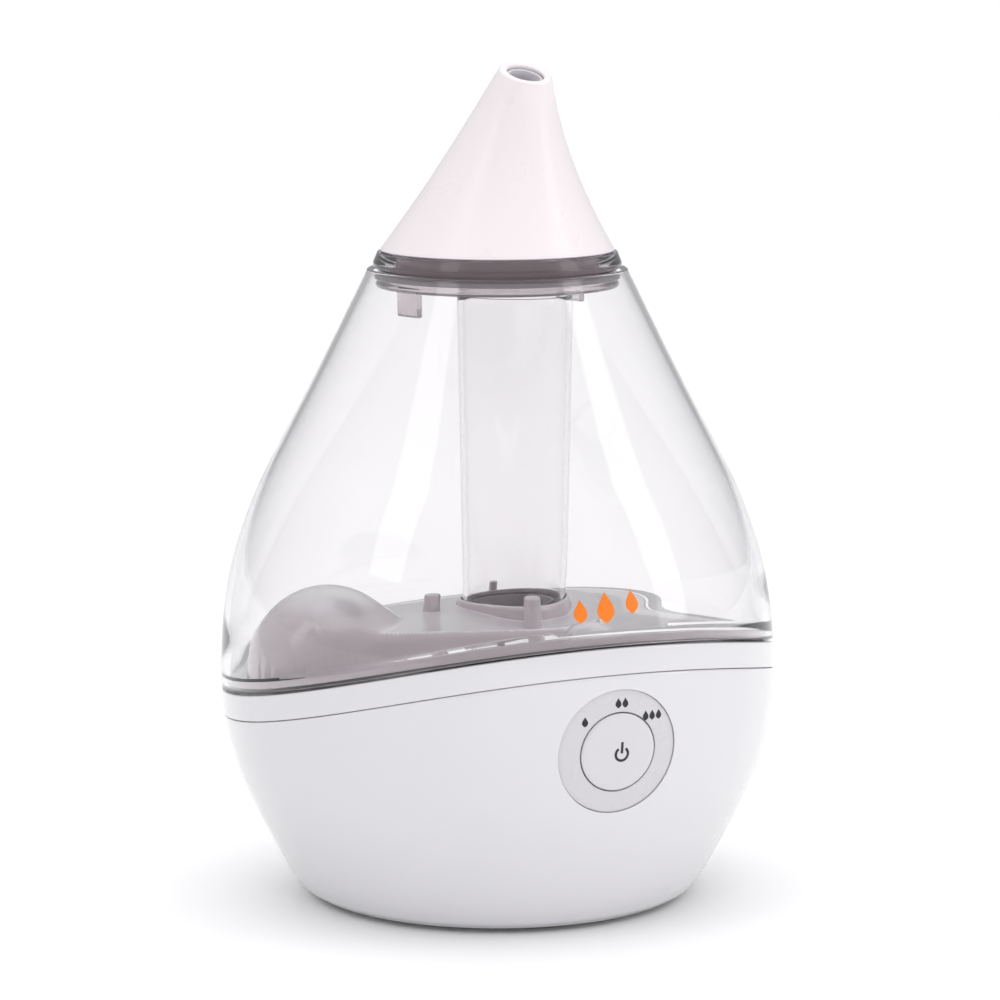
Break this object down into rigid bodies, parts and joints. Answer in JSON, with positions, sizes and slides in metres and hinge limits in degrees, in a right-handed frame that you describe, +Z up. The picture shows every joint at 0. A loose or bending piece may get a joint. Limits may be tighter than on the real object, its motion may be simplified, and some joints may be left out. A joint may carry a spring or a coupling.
{
  "type": "cool mist humidifier",
  "caption": "Drop-shaped cool mist humidifier: clear tank with a mist tube, leaning white cone outlet, white base with a round power button.",
  "frame": {"origin": "on the resting surface, under the middle of the body", "axes": "+Z up, -Y towards the front (the side half facing the control), +X to the right"},
  "size_m": [0.19, 0.19, 0.2856],
  "materials": {
    "white_cone": "satin gloss",
    "outlet_grey": "satin",
    "smoky_clear": "clear",
    "silicone": "matte",
    "clear_tank": "clear",
    "floor_white": "gloss",
    "clear_tube": "clear",
    "inner_white": "matte",
    "black_rubber": "matte",
    "spring_steel": "bright",
    "base_white": "gloss",
    "plate_white": "satin",
    "foot_rubber": "matte",
    "screw_steel": "bright",
    "gland_rubber": "matte",
    "control_white": "satin gloss",
    "button_white": "gloss",
    "board_green": "satin",
    "black_plastic": "satin",
    "led_clear": "clear",
    "transducer_brass": "satin",
    "aluminium": "satin",
    "magnet_grey": "matte",
    "reed_glass": "clear",
    "rotor_black": "satin",
    "transformer_yellow": "satin",
    "capacitor_blue": "gloss"
  },
  "bodies": {
    "base": {"base_tray": "base_white", "base_shell": "base_white", "bottom_plate": "plate_white", "rubber_feet": "foot_rubber", "bottom_screws": "screw_steel", "cord_gland": "gland_rubber", "escutcheon": "control_white", "control_board": "board_green", "tact_switch": "black_plastic", "power_led": "led_clear", "board_screws": "screw_steel", "transducer_disc": "transducer_brass", "transducer_seal": "black_rubber", "transducer_holder": "aluminium", "transducer_screws": "screw_steel", "reed_switch": "reed_glass", "fan_frame": "black_plastic", "fan_screws": "screw_steel", "fan_duct": "inner_white", "driver_board": "board_green", "transformer": "transformer_yellow", "capacitor": "capacitor_blue", "heat_sink": "aluminium", "driver_screws": "screw_steel"},
    "tank": {"tank_shell": "clear_tank", "tank_floor": "floor_white", "mist_tube": "clear_tube", "tube_gasket": "silicone"},
    "valve": {"valve_plunger": "inner_white", "valve_washer": "black_rubber", "valve_spring": "spring_steel"},
    "lid": {"lid_ring": "smoky_clear", "lid_seal": "silicone"},
    "cone": {"nozzle": "white_cone", "nozzle_liner": "outlet_grey"},
    "button": {"power_button": "button_white"},
    "float": {"float_ring": "inner_white", "float_magnet": "magnet_grey"},
    "rotor": {"fan_rotor": "rotor_black"}
  },
  "joints": [
    {"name": "tank_lift", "type": "slide", "parent": "base", "child": "tank", "axis": [0, 0, 1], "range_m": [0, 0.12]},
    {"name": "valve_close", "type": "slide", "parent": "tank", "child": "valve", "axis": [0, 0, -1], "range_m": [0, 0.0036], "deforming": ["valve_spring"]},
    {"name": "lid_lift", "type": "slide", "parent": "tank", "child": "lid", "axis": [0, 0, 1], "range_m": [0, 0.08]},
    {"name": "nozzle_turn", "type": "hinge", "parent": "lid", "child": "cone", "pos_m": [0, 0, 0.2215], "axis": [0, 0, 1], "continuous": true},
    {"name": "button_press", "type": "slide", "parent": "base", "child": "button", "axis": [-0.4203, 0.9013, 0.1045], "range_m": [0, 0.0012], "stiffness_N_per_m": 600},
    {"name": "fan_spin", "type": "hinge", "parent": "base", "child": "rotor", "pos_m": [-0.04, 0, 0.01], "axis": [0, 0, 1], "continuous": true},
    {"name": "float_rise", "type": "slide", "parent": "base", "child": "float", "axis": [0, 0, 1], "range_m": [0, 0.008]}
  ],
  "couplings": [
    {"joint": "valve_close", "follows": "tank_lift", "ratio": 0.03}
  ]
}
